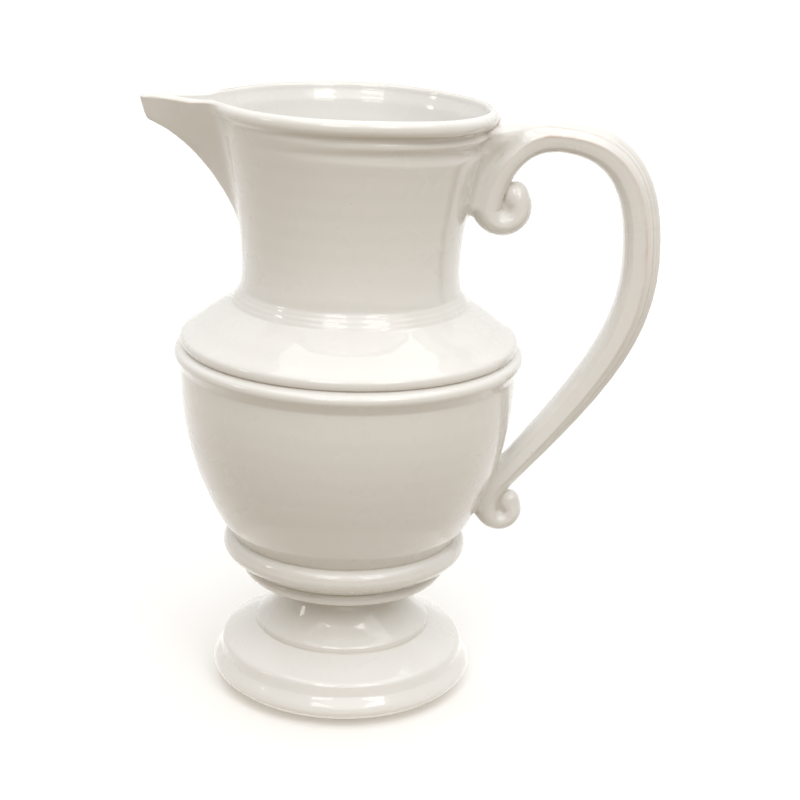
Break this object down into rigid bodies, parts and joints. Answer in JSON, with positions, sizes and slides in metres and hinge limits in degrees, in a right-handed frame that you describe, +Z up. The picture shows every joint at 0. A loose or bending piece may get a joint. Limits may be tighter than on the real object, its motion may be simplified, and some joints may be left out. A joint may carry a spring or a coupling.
{
  "type": "pitcher",
  "caption": "Footed cream-glazed ceramic pitcher with a beak spout, trumpet neck, sloping shoulder, beaded bowl and a moulded strap handle ending in scrolls.",
  "frame": {"origin": "centre of the foot's resting plane, on the axis of the turned body", "axes": "+Z up along the axis of the turned body, -X towards the tip of the spout, +X towards the handle, Y = 0 is the mirror plane"},
  "size_m": [0.2531, 0.1726, 0.2995],
  "materials": {
    "glaze": "gloss cream glaze, thinner and warmer on sharp edges"
  },
  "bodies": {
    "root": {"foot": "glaze", "bowl": "glaze", "shoulder": "glaze", "neck": "glaze", "spout": "glaze", "handle_strap": "glaze", "upper_scroll": "glaze", "lower_scroll": "glaze"}
  },
  "joints": []
}
